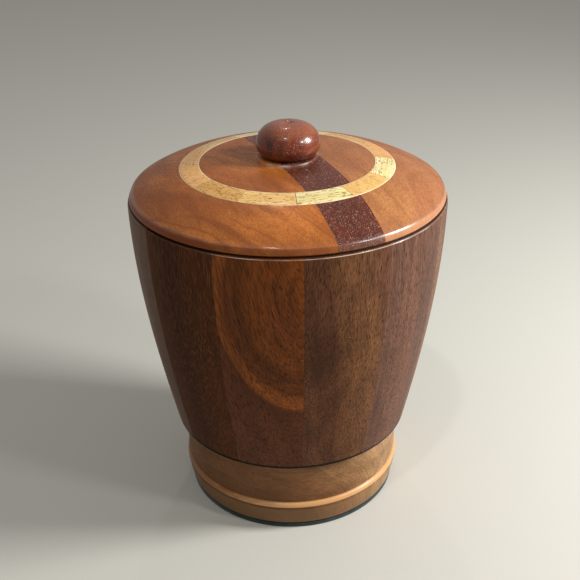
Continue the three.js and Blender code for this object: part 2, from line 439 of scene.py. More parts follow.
def toneRamp(tree, value, tones):
    ramp = add(tree, "ShaderNodeValToRGB", {"Fac": value})
    elements = ramp.color_ramp.elements
    for _ in range(len(tones) - len(elements)):
        elements.new(0.5)
    for element, (spot, code) in zip(elements, tones):
        element.position = spot
        element.color = linear(code)
    return ramp.outputs[0]


def makeWood(name, look, boardTurn):
    wood = {**plainWood, **look}
    material, tree, place = newMaterial(name)
    position = add(tree, "ShaderNodeMapping", {"Vector": place, "Rotation": boardTurn}).outputs[0]
    rings = add(tree, "ShaderNodeGroup", node_tree=growthRings)
    grain = add(tree, "ShaderNodeGroup", node_tree=woodGrain)
    specks = add(tree, "ShaderNodeGroup", node_tree=dustSpecks)
    tree.links.new(position, rings.inputs["Position"])
    tree.links.new(position, grain.inputs["Position"])
    tree.links.new(place, specks.inputs["Position"])
    setInputs(rings, {
        "Pith Side": wood["pith"][0], "Pith Depth": wood["pith"][1],
        "Side Lean": wood["sideLean"], "Depth Lean": wood["depthLean"],
        "Waviness": wood["waviness"], "Ring Width": wood["ringWidth"],
        "Streak Width": wood["streakWidth"], "Streak Length": wood["streakLength"]})
    setInputs(grain, {
        "Slant": wood["slant"], "Fan": wood["fan"], "Pore Width": wood["poreWidth"],
        "Pore Length": wood["poreLength"], "Pore Cover": wood["poreCover"], "Seed": wood["seed"]})
    setInputs(specks, {"Spacing": dust["spacing"], "Size": dust["size"]})

    nearest, farthest = wood["reach"]
    inputs = {"Value": rings.outputs["Distance"], "From Min": nearest, "From Max": farthest}
    across = add(tree, "ShaderNodeMapRange", inputs).outputs[0]
    colour = toneRamp(tree, across, wood["tones"])
    fibres, pores = grain.outputs["Fibres"], grain.outputs["Pores"]
    mottle = between(tree, grain.outputs["Mottle"], *woodFigure["mottleEdge"])

    def patchLayer(middle, reach, tone, depth):
        patch = add(tree, "ShaderNodeGroup", node_tree=softPatch)
        tree.links.new(position, patch.inputs["Position"])
        setInputs(patch, {"Middle": middle, "Reach": reach})
        return patch.outputs["Mask"], depth, tone

    layers = [patchLayer(*patch) for patch in wood["patches"]]
    layers += [
        (rings.outputs["Latewood"], wood["ringDepth"], wood["lateTone"]),
        (rings.outputs["Streaks"], wood["streakDepth"], wood["lateTone"]),
        (mottle, wood["mottleDepth"], wood["lateTone"]),
        (between(tree, fibres, *woodFigure["fibreEdge"]), wood["fibreDepth"], wood["fibreTone"]),
        (pores, wood["poreDepth"], wood["poreTone"]),
    ]
    coat = wood["lacquer"]
    for mark in wood["edgeMarks"]:
        band = add(tree, "ShaderNodeGroup", node_tree=heightBand)
        tree.links.new(place, band.inputs["Position"])
        setInputs(band, {"From": mark["low"], "To": mark["high"], "Fade": mark["fade"],
                         "Patchiness": mark["patchy"]})
        inBand = band.outputs["Mask"]
        if mark["depth"]:
            layers.append((inBand, mark["depth"], mark["tone"]))
        if mark["gloss"]:
            coat = calc(tree, "ADD", coat, calc(tree, "MULTIPLY", inBand, mark["gloss"]))
    # shade patches lie over the edge marks, as painted shade
    layers += [patchLayer(*shadePatch) for shadePatch in wood["shadePatches"]]
    layers.append((specks.outputs["Specks"], 1.0, dust["tone"]))
    for mask, depth, tone in layers:
        colour = blend(tree, calc(tree, "MULTIPLY", mask, depth), colour, linear(tone))

    fibreRough = woodFigure["fibreRoughness"]
    rough = calc(tree, "ADD", calc(tree, "MULTIPLY", fibres, fibreRough),
                 wood["roughness"] - fibreRough / 2)
    rough = calc(tree, "ADD", rough, calc(tree, "MULTIPLY", pores, woodFigure["poreRoughness"]))
    raised = calc(tree, "MULTIPLY", fibres, woodFigure["fibreHeight"])
    height = calc(tree, "SUBTRACT", raised, pores)
    bump = {"Height": height, "Strength": wood["relief"], "Distance": wood["reliefSize"]}
    relief = add(tree, "ShaderNodeBump", bump).outputs[0]
    addSurface(tree, {
        "Base Color": colour, "Roughness": rough, "Normal": relief, "IOR": 1.5,
        "Specular IOR Level": wood["shine"], "Coat Weight": coat,
        "Coat Roughness": wood["lacquerRoughness"]})
    return material


print("shader groups ready")


# The camera stands where the photograph was taken from

view = {
    "place": (0.34 * mm, -361.9 * mm, 282.9 * mm),
    "downward": 27.672,
    "roll": -0.929,
    "lens": 57.72,
    "sensorWidth": 36,
    "clipStart": 10 * mm,
}


def makeCamera():
    deselectAll()
    bpy.ops.object.camera_add(location=view["place"])
    camera = bpy.context.object
    aim = Matrix.Rotation(math.radians(90 - view["downward"]), 3, "X")
    camera.rotation_euler = (aim @ Matrix.Rotation(math.radians(view["roll"]), 3, "Z")).to_euler()
    camera.data.lens = view["lens"]
    camera.data.sensor_width = view["sensorWidth"]
    camera.data.clip_start = view["clipStart"]
    bpy.context.scene.camera = camera


makeCamera()
print("camera placed")


# The jar's wall of staves

staves = {
    "count": 12,
    "firstJoint": 4.8,
    "footRadius": 52.25 * mm,
    "bowRadius": 59.65 * mm,
    "mouthRadius": 66 * mm,
    "wall": 8 * mm,
    "lowerRound": 0.7 * mm,
    "rimRound": 1.4 * mm,
    "mouthEase": 0.8 * mm,
    "glueLine": 0.03 * mm,
    "risers": 40,
    "lowerSteps": 6,
    "rimSteps": 10,
    "mouthSteps": 5,
    # painted shade: a dark band low on the wall where it meets the foot, and one on the rim's
    # rounding in the seam under the lid
    "seamShadeTone": "0d0704",
    "footShade": 1.5 * mm,
    "footShadeDepth": 0.9,
    "rimSeamShade": 0.28 * mm,
    "rimSeamShadeDepth": 0.85,
    "rimTopBare": 0.05 * mm,
    # painted highlight: a pale line along the rim's rounding, stronger on the staves toward the
    # lamps
    "glintFrom": 0.8 * mm,  # under the rim's top
    "glintTo": 0.66 * mm,
    "glintFade": 0.08 * mm,
    "glintTone": "ecd0ba",
    "glintDepth": 0.15,
    "glintPatchy": 0.8,
    "brightGlintStaves": (12, 1, 2, 3),  # the staves that show more of the glint
    "brightGlintDepth": 0.7,
    "redEvery": 3,
    "slantReach": 0.12,
    "slantTurn": 3.1,
    "seedStep": 0.17,
}


def bodyRadius(share):
    # the outline bows out on its way up and stands upright at the mouth
    rest = 1 - share
    return (staves["footRadius"] * rest ** 3 + 3 * staves["bowRadius"] * share * rest ** 2
            + staves["mouthRadius"] * (3 * share ** 2 * rest + share ** 3))


def wallOutline(lowest, highest):
    height = highest - lowest
    lowerRound, rimRound, ease = staves["lowerRound"], staves["rimRound"], staves["mouthEase"]
    start, end = lowerRound / height, 1 - rimRound / height
    shares = [start + (end - start) * i / staves["risers"] for i in range(staves["risers"] + 1)]
    outside = [(bodyRadius(s), lowest + s * height) for s in shares]
    inside = [(radius - staves["wall"], z) for radius, z in outside[1:-1]]
    inside.reverse()
    innerFoot = staves["footRadius"] - staves["wall"]
    innerMouth = staves["mouthRadius"] - staves["wall"]
    (lowRadius, lowHeight), *belly, (topRadius, topHeight) = outside
    lower = arc(lowRadius - lowerRound, lowHeight, lowerRound, lowerRound, -90, 0,
                staves["lowerSteps"])
    rim = arc(topRadius - rimRound, topHeight, rimRound, rimRound, 0, 90, staves["rimSteps"])
    mouth = arc(innerMouth + ease, highest - ease, ease, ease, 90, 180, staves["mouthSteps"])
    return [(innerFoot, lowest), *lower, *belly, *rim, *mouth, *inside, (innerFoot, lowest)]


darkStave = {
    "pith": (-120 * mm, -60 * mm),
    "reach": (98 * mm, 142 * mm),
    "sideLean": 0.03,
    "waviness": 3 * mm,
    "ringWidth": 4.5 * mm,
    "tones": [(0, "593722"), (0.2, "623c24"), (0.4, "4d2f1d"), (0.6, "5f3a23"), (0.8, "4b2e1c"),
              (1, "583721")],
    "lateTone": "301b10",
    "fibreTone": "3a2314",
    "poreTone": "1a0e07",
    "lacquerRoughness": 0.16,
}

redStave = {
    "tones": [(0, "6c422d"), (0.3, "784a2e"), (0.5, "633b28"), (0.75, "754930"), (1, "684029")],
    "fibreTone": "52301f",
}

# What sets single staves apart, by number. Stave 12 is the front one and 1 is to its right.
# Its pale band of sapwood is a bow, because the board was cut askew through the tree.
staveLooks = {
    12: {
        "pith": (-6.9 * mm, 39.5 * mm), "depthLean": -0.0576, "reach": (88 * mm, 100 * mm),
        "waviness": 0.3 * mm, "ringWidth": 0.36 * mm, "ringDepth": 0.12, "slant": 0.3, "fan": 4.0,
        "streakWidth": 0.07 * mm, "streakLength": 14 * mm, "streakDepth": 0.5,
        "tones": [(0, "6a3c27"), (0.5, "6e3e26"), (0.625, "663820"), (0.65, "a55c27"),
                  (0.69, "9a5424"), (0.725, "703b19"), (0.75, "7a421c"), (0.78, "683716"),
                  (0.83, "88481c"), (1, "8a481a")],
        "lateTone": "3a1f0c", "fibreTone": "4e2a12",
        "patches": [((9.5 * mm, 0, 113 * mm), (8 * mm, 1, 14 * mm), "864526", 0.5)],
    },
    1: {
        "pith": (-120 * mm, -60 * mm), "sideLean": 0.1395, "reach": (113 * mm, 152 * mm),
        "slant": -0.1, "waviness": 20 * mm, "ringWidth": 7 * mm, "ringDepth": 0.15,
        "poreWidth": 0.25 * mm, "poreLength": 3 * mm, "poreTone": "24140b", "poreDepth": 0.75,
        "tones": [(0, "774a33"), (0.2, "6e432c"), (0.38, "693f28"), (0.5, "784c2e"),
                  (0.64, "7e5233"), (0.8, "805437"), (1, "794d39")],
        "fibreTone": "442914",
        "patches": [
            ((-9 * mm, 0, 97 * mm), (12 * mm, 1, 21 * mm), "2c1a0f", 0.5),
            ((8 * mm, 0, 97 * mm), (8 * mm, 1, 34 * mm), "8a5c34", 0.45),
            ((-7 * mm, 0, 116 * mm), (7 * mm, 1, 8 * mm), "7a4d38", 0.6),
        ],
    },
    2: {
        "reach": (98 * mm, 142 * mm), "slant": 0.04,
        "poreWidth": 0.25 * mm, "poreLength": 3 * mm, "poreTone": "2a180f", "poreDepth": 0.75,
        "tones": [(0, "865741"), (0.3, "754d3a"), (0.55, "855641"), (0.8, "704837"), (1, "7d523e")],
        "fibreTone": "472b1e", "shine": 0.2,
    },
    3: {
        "poreWidth": 0.25 * mm, "poreLength": 3 * mm,
        "tones": [(0, "83573f"), (0.3, "8f6042"), (0.5, "784d38"), (0.75, "8c5e44"), (1, "7e543a")],
        "shine": 0.25,
    },
    10: {
        "tones": [(0, "6f4528"), (0.2, "794c2c"), (0.4, "5f3b22"), (0.6, "75492a"), (0.8, "5d3a22"),
                  (1, "6d4427")],
        "poreTone": "9a7a60", "poreDepth": 0.35, "shine": 0.25,
    },
    11: {
        "slant": 0.05,
        "tones": [(0, "472512"), (0.25, "562d16"), (0.5, "3e2010"), (0.75, "542c15"),
                  (1, "593016")],
        "poreTone": "8a6144", "poreDepth": 0.3, "shine": 0.05,
    },
}


def staveLook(number):
    # the others differ in their place along the board they were cut from, and some are redder
    slant = staves["slantReach"] * math.cos(number * staves["slantTurn"])
    look = {**darkStave, "slant": slant, "seed": staves["seedStep"] * number}
    if number % staves["redEvery"] == 0:
        look.update(redStave)
    look.update(staveLooks.get(number, {}))
    return look


def makeStaves():
    lowest, highest = (corner.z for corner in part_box("stave_01"))
    wall = turned("stave wall", wallOutline(lowest, highest))
    step = 360 / staves["count"]
    cutSector(wall, staves["firstJoint"], staves["firstJoint"] + step, staves["glueLine"])
    for i in range(staves["count"]):
        node = f"stave_{i + 1:02d}"
        piece = copyTurned(wall, node + "_turned", math.radians(i * step))
        middle = staves["firstJoint"] + (i + 0.5) * step
        glint = staves["brightGlintDepth"] if i + 1 in staves["brightGlintStaves"] else staves["glintDepth"]
        marks = [
            # painted shade where the wall meets the foot
            edgeMark(lowest, lowest + staves["footShade"], staves["seamShadeTone"],
                     staves["footShadeDepth"]),
            # painted highlight along the rim's rounding, with lacquer there
            edgeMark(highest - staves["glintFrom"], highest - staves["glintTo"],
                     staves["glintTone"], glint, staves["glintFade"], staves["glintPatchy"], 1),
            # painted shade in the seam under the lid
            edgeMark(highest - staves["rimSeamShade"], highest - staves["rimTopBare"],
                     staves["seamShadeTone"], staves["rimSeamShadeDepth"], staves["rimTopBare"]),
        ]
        look = {**staveLook(i + 1), "edgeMarks": marks}
        wood = makeWood(node + " wood", look, standing(middle))
        settle(piece, node, "jar", wood)
    bpy.data.objects.remove(wall)


makeStaves()
print("staves made:", staves["count"])


# The turned foot and its felt

foot = {
    "undersideRadius": 47.7 * mm,
    "edgeEase": 0.8 * mm,
    "beadRadius": 49.3 * mm,
    "beadHeight": 11.9 * mm,
    "widest": 10.1 * mm,
    "fullness": 1.4,
    "creaseRadius": 48 * mm,
    "neckRadius": 48.5 * mm,
    "spigotHeight": 6 * mm,
    "spigotGap": 0.3 * mm,
    "easeSteps": 5,
    "sideSteps": 12,
    "beadSteps": 12,
    "filletSteps": 4,
    "neckSteps": 8,
    # painted highlight along the bead's upper rounding, with lacquer there
    "beadHighlightFrom": 10.2 * mm,
    "beadHighlightTo": 11.8 * mm,
    "beadHighlightTone": "ecb272",
    "beadHighlightDepth": 0.68,
    "beadHighlightFade": 0.5 * mm,
    "beadHighlightGloss": 0.6,
    # painted light: the lower foot paler and greyer, as if lit by light bounced from the floor
    "bounceLightTo": 8.2 * mm,
    "bounceLightTone": "a8865f",
    "bounceLightDepth": 0.22,
    "bounceLightFade": 1 * mm,
    # painted shade on the neck's top, under the wall's overhang
    "neckShade": 0.6 * mm,
    "neckShadeDepth": 0.85,
}

# Its grain runs from left to right, and it is paler on the right
footWood = {
    "pith": (-100 * mm, -40 * mm),
    "reach": (45 * mm, 115 * mm),
    "sideLean": 0.7,
    "depthLean": 0.03,
    "waviness": 6 * mm,
    "ringWidth": 9 * mm,
    "ringDepth": 0.2,
    "tones": [(0, "74430f"), (0.1, "66411a"), (0.35, "70492c"), (0.6, "8d5f3c"), (0.85, "b08559"),
              (1, "c09569")],
    "lateTone": "4f3010",
    "fibreTone": "553414",
    "fibreDepth": 0.4,
    "poreTone": "482b10",
    "poreDepth": 0.25,
    "poreWidth": 0.4 * mm,
    "poreLength": 3 * mm,
    "streakDepth": 0.25,
    # painted shade: the bead's painted highlight dimmed on the front left, away from the lamps
    "shadePatches": [((-20 * mm, 13.5 * mm, -44 * mm), (60 * mm, 3.5 * mm, 44 * mm), "74400f", 0.75)],
    "lacquer": 0.05,
    "lacquerRoughness": 0.25,
    "shine": 0.15,
    "roughness": 0.42,
    "relief": 0.08,
}


def makeFoot():
    low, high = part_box("foot")
    base = low.z
    shoulder = high.z - foot["spigotHeight"]
    ease, widest, bead = foot["edgeEase"], foot["widest"], foot["beadHeight"]
    underside, crease, neck = foot["undersideRadius"], foot["creaseRadius"], foot["neckRadius"]
    side = []
    for i in range(1, foot["sideSteps"] + 1):
        share = i / foot["sideSteps"]
        swell = (foot["beadRadius"] - underside) * (1 - (1 - share) ** foot["fullness"])
        side.append((underside + swell, base + ease + (widest - ease) * share))
    upperAcross = foot["beadRadius"] - crease
    spigot = staves["footRadius"] - staves["wall"] - foot["spigotGap"]
    fillet = neck - crease
    neckStart = base + bead + fillet
    neckSide = []
    for i in range(1, foot["neckSteps"] + 1):
        neckSide.append((neck, neckStart + (shoulder - neckStart) * i / foot["neckSteps"]))
    outline = [
        *arc(underside - ease, base + ease, ease, ease, -90, 0, foot["easeSteps"]),
        *side,
        *arc(crease, base + widest, upperAcross, bead - widest, 0, 90, foot["beadSteps"])[1:],
        *arc(neck, neckStart, -fillet, -fillet, 90, 0, foot["filletSteps"])[1:],
        *neckSide,
        (spigot, shoulder),
        (spigot, high.z - ease),
        (spigot - ease, high.z),
    ]
    piece = turned("foot_turned", outline)
    marks = [
        # painted bounce light on the lower foot
        edgeMark(base, base + foot["bounceLightTo"], foot["bounceLightTone"], foot["bounceLightDepth"],
                 foot["bounceLightFade"]),
        # painted highlight on the bead
        edgeMark(base + foot["beadHighlightFrom"], base + foot["beadHighlightTo"], foot["beadHighlightTone"],
                 foot["beadHighlightDepth"], foot["beadHighlightFade"], gloss=foot["beadHighlightGloss"]),
        # painted shade under the wall's overhang
        edgeMark(shoulder - foot["neckShade"], high.z, staves["seamShadeTone"], foot["neckShadeDepth"]),
    ]
    wood = makeWood("foot wood", {**footWood, "edgeMarks": marks}, lying(90))
    settle(piece, "foot", "jar", wood)


makeFoot()

felt = {
    "inset": 0.3 * mm,
    "edgeRound": 0.5 * mm,
    "edgeSteps": 4,
    "tone": "2a3b38",
    "deepTone": "151f1e",
    "toneEdge": (0.35, 0.65),
    "fuzzScale": 2600,
    "tuftScale": 240,
    "fuzzShare": 0.6,
    "fuzzHeight": 0.2 * mm,
    "relief": 0.6,
    "roughness": 0.95,
    "shine": 0.1,
    "sheen": 0.3,
    "sheenRoughness": 0.5,
}


def makeFeltMaterial():
    material, tree, place = newMaterial("green felt")
    fuzz = noise(tree, place, felt["fuzzScale"], 3.0)
    tufts = noise(tree, place, felt["tuftScale"], 4.0)
    both = calc(tree, "ADD", calc(tree, "MULTIPLY", fuzz, felt["fuzzShare"]),
                calc(tree, "MULTIPLY", tufts, 1 - felt["fuzzShare"]))
    raised = between(tree, both, *felt["toneEdge"])
    colour = blend(tree, raised, linear(felt["deepTone"]), linear(felt["tone"]))
    bump = {"Height": fuzz, "Strength": felt["relief"], "Distance": felt["fuzzHeight"]}
    relief = add(tree, "ShaderNodeBump", bump).outputs[0]
    addSurface(tree, {
        "Base Color": colour, "Roughness": felt["roughness"], "Normal": relief,
        "Specular IOR Level": felt["shine"], "Sheen Weight": felt["sheen"],
        "Sheen Roughness": felt["sheenRoughness"]})
    return material


def makeFelt():
    low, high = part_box("felt_pad")
    bottom = low.z
    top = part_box("foot")[0].z
    radius = foot["undersideRadius"] - felt["inset"]
    edge, steps = felt["edgeRound"], felt["edgeSteps"]
    outline = [
        *arc(radius - edge, bottom + edge, edge, edge, -90, 0, steps),
        *arc(radius - edge, top - edge, edge, edge, 0, 90, steps),
    ]
    piece = turned("felt_pad_cut", outline)
    settle(piece, "felt_pad", "jar", makeFeltMaterial())


makeFelt()
print("foot and felt made")


# The lid: three boards turned as one, with a groove for the ring

lid = {
    "rimInset": 0.7 * mm,
    "rimHeight": 3 * mm,
    "rimBevel": 1 * mm,
    "rimRound": 0.7 * mm,
    "shoulderRound": 0.8 * mm,
    "crownRun": 2 * mm,  # along the crown, which gives its slope at the shoulder
    "crownRise": 11.4 * mm,
    "crownPower": 3.4,
    "tenonDepth": 4.7 * mm,
    "tenonFit": 0.5 * mm,
    "tenonEase": 0.8 * mm,
    "bossRadius": 12.4 * mm,
    "bossRise": 0.8 * mm,
    "boardTurn": 22,
    "stripWidth": 19 * mm,
    "stripOffset": 2.8 * mm,
    "glueLine": 0.04 * mm,
    "rimSteps": 8,
    "shoulderSteps": 8,
    "crownSteps": 26,
    "discSteps": 24,
    "bossSteps": 5,
    "bossFoot": 20,  # degrees up its edge round, where the boss leaves the crown
    "holeCorners": 64,
    # rim band tones: painted shade for the left board's rim, painted light for the strip's and the
    # right board's
    "rimShade": "632704",
    "rimLitTone": "eeb68c",
    "rimFade": 0.3 * mm,
    "leftRimDepth": 0.45,
    "stripRimDepth": 0.05,
    "rightRimDepth": 0.2,
    "glossReach": 0.5 * mm,
    "glossFade": 0.25 * mm,
    "shoulderGloss": 0.8,
    # pale dust specks and a painted highlight at the boss edge round the knob
    "bossDustGlintTone": "d9c6b4",
    "bossDustGlintHeight": 0.48 * mm,
    "bossDustGlintDepth": 0.6,
    "bossDustGlintFade": 0.1 * mm,
}

ring = {
    "count": 12,
    "firstJoint": 4.5,
    "inset": 19.9 * mm,
    "width": 8.5 * mm,
    "depth": 5 * mm,
    "floorGap": 0.2 * mm,
    "glueLine": 0.2 * mm,
    "edgeGap": 0.1 * mm,
    "edgeRound": 0.15 * mm,
    "edgeShare": 0.3,
    "crownSteps": 8,
    "paleEdge": 0.35 * mm,
    "paleTone": "f6dcb6",
    "paleDepth": 0.85,
    "paleFade": 0.01 * mm,
    "palePatchy": 0.5,
    "seedStep": 0.05,
}

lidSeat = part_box("lid_centre_strip")[0].z + lid["tenonDepth"]
rimRadius = staves["mouthRadius"] - lid["rimInset"]
shoulderRadius = rimRadius - lid["rimBevel"]
ringOuter = shoulderRadius - ring["inset"]
ringInner = ringOuter - ring["width"]


def crownHeight(radius):
    rise = lid["crownRise"] * (1 - (radius / shoulderRadius) ** lid["crownPower"])
    return lidSeat + lid["rimHeight"] + rise


def crownPoints(fromRadius, toRadius, steps):
    radii = [fromRadius + (toRadius - fromRadius) * i / steps for i in range(steps + 1)]
    return [(radius, crownHeight(radius)) for radius in radii]


def stepFrom(corner, other, size):
    length = math.dist(corner, other)
    return tuple(c + (o - c) * size / length for c, o in zip(corner, other))


def roundedCorner(before, corner, after, size):
    # points that leave one line and join the next by a curve near their corner
    start = stepFrom(corner, before, size)
    end = stepFrom(corner, after, size)
    points = []
    for i in range(lid["shoulderSteps"] + 1):
        t = i / lid["shoulderSteps"]
        points.append(tuple((1 - t) ** 2 * a + 2 * t * (1 - t) * b + t * t * c
                            for a, b, c in zip(start, corner, end)))
    return points


def lidOutline():
    tenon = staves["mouthRadius"] - staves["wall"] - lid["tenonFit"]
    low = lidSeat - lid["tenonDepth"]
    ease, rimRound = lid["tenonEase"], lid["rimRound"]
    inner, outer = ringInner - ring["edgeGap"], ringOuter + ring["edgeGap"]
    grooveFloor = crownHeight(ringInner) - ring["depth"]
    bossRadius, bossRise = lid["bossRadius"], lid["bossRise"]
    shoulder = (shoulderRadius, crownHeight(shoulderRadius))
    beyond = crownPoints(shoulderRadius - lid["crownRun"], 0, 1)[0]
    rimTop = (rimRadius, lidSeat + rimRound)
    corner = roundedCorner(rimTop, shoulder, beyond, lid["shoulderRound"])
    return [
        (tenon - ease, low),
        (tenon, low + ease),
        (tenon, lidSeat),
        *arc(rimRadius - rimRound, lidSeat + rimRound, rimRound, rimRound, -90, 0, lid["rimSteps"]),
        *corner,
        *crownPoints(shoulderRadius - 2 * lid["shoulderRound"], outer, lid["crownSteps"]),
        (outer, grooveFloor),
        (inner, grooveFloor),
        *crownPoints(inner, bossRadius + bossRise / 2, lid["discSteps"]),
        *arc(bossRadius - bossRise, crownHeight(0), bossRise, bossRise, lid["bossFoot"], 90,
             lid["bossSteps"]),
    ]


# The boards' growth rings cross them at a slant
boardWood = {
    "pith": (25 * mm, 105 * mm),
    "reach": (45 * mm, 105 * mm),
    "sideLean": -0.67,
    "depthLean": 0.12,
    "waviness": 10 * mm,
    "ringWidth": 6 * mm,
    "ringDepth": 0.14,
    "tones": [(0, "c0702c"), (0.2, "b0642a"), (0.35, "c57530"), (0.5, "ad5f25"), (0.65, "c27232"),
              (0.8, "a65c26"), (1, "b86c30")],
    "patches": [
        ((-33 * mm, 0.15, 50 * mm), (40 * mm, 1, 21 * mm), "e4883a", 0.46),
        ((-13 * mm, 0.15, 21 * mm), (17 * mm, 1, 13 * mm), "8e440e", 0.5),
    ],
    # painted shade: the rim band darker on the left, away from the lamps
    "shadePatches": [((-58 * mm, 141.6 * mm, 24 * mm), (34 * mm, 2.2 * mm, 42 * mm), "7a3400", 0.75)],
    "lateTone": "7a3d16",
    "fibreTone": "8f4d1c",
    "fibreDepth": 0.35,
    "poreTone": "6a3612",
    "poreDepth": 0.4,
    "poreWidth": 0.42 * mm,
    "poreLength": 1 * mm,
    "mottleDepth": 0.4,
    "streakWidth": 2.2 * mm,
    "streakLength": 60 * mm,
    "streakDepth": 0.5,
    "lacquer": 0.15,
    "lacquerRoughness": 0.12,
    "shine": 0.3,
    "roughness": 0.4,
    "relief": 0.15,
}

rightBoardWood = {
    **boardWood,
    "waviness": 4 * mm,
    "tones": [(0, "b6754a"), (0.2, "ab6b42"), (0.4, "b97a4e"), (0.6, "a96a42"), (0.8, "b7784c"),
              (1, "ab6b42")],
    # painted sheen: a paler patch near the board's front, toward the lamps
    "patches": [((22 * mm, 0.15, 46 * mm), (14 * mm, 1, 24 * mm), "d99858", 0.4)],
    "shadePatches": [],
    "lacquerRoughness": 0.2,
    "lateTone": "824a22",
    "fibreTone": "92592b",
    "streakDepth": 0.25,
    "mottleDepth": 0.25,
    "seed": 0.4,
}

stripWood = {
    "pith": (60 * mm, 150 * mm),
    "reach": (48 * mm, 74 * mm),
    "waviness": 2 * mm,
    "ringWidth": 2.6 * mm,
    "ringDepth": 0.3,
    "tones": [(0, "702e18"), (0.4, "5e2514"), (0.7, "76321a"), (1, "622715")],
    "lateTone": "30120b",
    "fibreTone": "3e180d",
    "poreTone": "e6c2a4",
    "poreDepth": 0.75,
    "poreWidth": 0.3 * mm,
    "poreLength": 0.55 * mm,
    "poreCover": 0.61,
    "lacquer": 0.15,
    "lacquerRoughness": 0.2,
    "shine": 0.4,
    "roughness": 0.36,
    "relief": 0.6,
}


def makeLid():
    blank = turned("lid blank", lidOutline())
    low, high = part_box("knob")
    knobMiddle = ((low.x + high.x) / 2, (low.y + high.y) / 2)
    holeRadius = knob["tenonRadius"] + knob["tenonGap"]
    holeFloor = low.z - knob["tenonGap"]
    hole = [(holeRadius, holeFloor), (holeRadius, high.z)]
    drill = turned("drill", hole, lid["holeCorners"], knobMiddle)
    subtract(blank, drill)
    bpy.data.objects.remove(drill)

    angle = math.radians(lid["boardTurn"])
    across = (math.cos(angle), math.sin(angle), 0)
    back = [-a for a in across]
    left = lid["stripOffset"] - lid["stripWidth"] / 2
    right = lid["stripOffset"] + lid["stripWidth"] / 2
    gap = lid["glueLine"] / 2
    cuts = {
        "lid_board_left": [(left - gap, across)],
        "lid_centre_strip": [(left + gap, back), (right - gap, across)],
        "lid_board_right": [(right + gap, back)],
    }
    along = lying(lid["boardTurn"])
    shoulder, bossFoot = lidSeat + lid["rimHeight"], crownHeight(0)
    reach = lid["glossReach"]
    marks = [
        edgeMark(shoulder - reach, shoulder + reach, lid["rimShade"], 0, lid["glossFade"],
                 gloss=lid["shoulderGloss"]),
        # dust and painted highlight at the boss edge
        edgeMark(bossFoot, bossFoot + lid["bossDustGlintHeight"], lid["bossDustGlintTone"],
                 lid["bossDustGlintDepth"], lid["bossDustGlintFade"], patchy=1),
    ]
    # each board's rim band: painted shade on the left board, painted light on the strip and the
    # right board
    woods = {
        "lid_board_left": ("board_wood", boardWood, lid["rimShade"], lid["leftRimDepth"]),
        "lid_centre_strip": ("strip_wood", stripWood, lid["rimLitTone"], lid["stripRimDepth"]),
        "lid_board_right": ("board_wood", rightBoardWood, lid["rimLitTone"], lid["rightRimDepth"]),
    }
    for node, planes in cuts.items():
        piece = copyTurned(blank, node + "_turned", 0)
        for distance, normal in planes:
            cutAway(piece, [a * distance for a in across], normal)
        slot, look, rimTone, rimDepth = woods[node]
        rim = edgeMark(lidSeat, shoulder - reach, rimTone, rimDepth, lid["rimFade"])
        wood = makeWood(node + " wood", {**look, "edgeMarks": [rim, *marks]}, along)
        settle(piece, node, "lid", wood)
    bpy.data.objects.remove(blank)


# The knob, a flattened ball with a dimple, on its own tenon

knob = {
    "radius": 13.2 * mm,
    "widest": 4.5 * mm,
    "height": 13.4 * mm,
    "baseRadius": 10 * mm,
    "fullness": 0.66,
    "undercut": 1.7,
    "tenonRadius": 4.8 * mm,
    "tenonGap": 0.3 * mm,
    "dimpleRadius": 3 * mm,
    "dimpleDepth": 0.7 * mm,
    "dimpleCrest": 0.62,  # of its radius, where its lip stands highest
    "corners": 96,
    "lowerSteps": 14,
    "upperSteps": 34,
    "dimpleSteps": 12,
    "grainAzimuth": 20,
    # painted sheen: the top paler, as the pale surroundings reflect in it; painted shade: the lower
    # part darker
    "sheenTop": 3.4 * mm,
    "paleTone": "c47c58",
    "paleDepth": 0.25,
    "shadeReach": 3.6 * mm,
    "shadeTone": "44180a",
    "shadeDepth": 0.42,
}

knobWood = {
    "pith": (-9 * mm, -4 * mm),
    "reach": (0, 26 * mm),
    "waviness": 5 * mm,
    "ringWidth": 3 * mm,
    "ringDepth": 0.4,
    "tones": [(0, "7a2608"), (0.2, "983f18"), (0.45, "7e3012"), (0.7, "924019"), (1, "762c11")],
    "lateTone": "3a1206",
    "fibreTone": "5c220b",
    "poreTone": "d79a78",
    "poreDepth": 0.4,
    "poreCover": 0.58,
    "poreWidth": 0.42 * mm,
    "poreLength": 0.55 * mm,
    "streakDepth": 0.4,
    "patches": [((-9.7 * mm, -7.1 * mm, 163 * mm), (1.6 * mm, 5 * mm, 5 * mm), "260c05", 0.85)],
    "lacquer": 0.55,
    "lacquerRoughness": 0.13,
    "shine": 0.4,
    "roughness": 0.26,
    "relief": 1.0,
    "reliefSize": 0.14 * mm,
}


def knobRise(r):
    # height over the widest ring, without the dimple
    rise = knob["height"] - knob["widest"]
    return rise * math.sqrt(max(0, 1 - (r / knob["radius"]) ** (2 / knob["fullness"])))


def knobSag():
    # how far the dimple's lip lies under the height that the outline would reach without it
    rise = knob["height"] - knob["widest"]
    return rise - knobRise(knob["dimpleRadius"] * knob["dimpleCrest"])


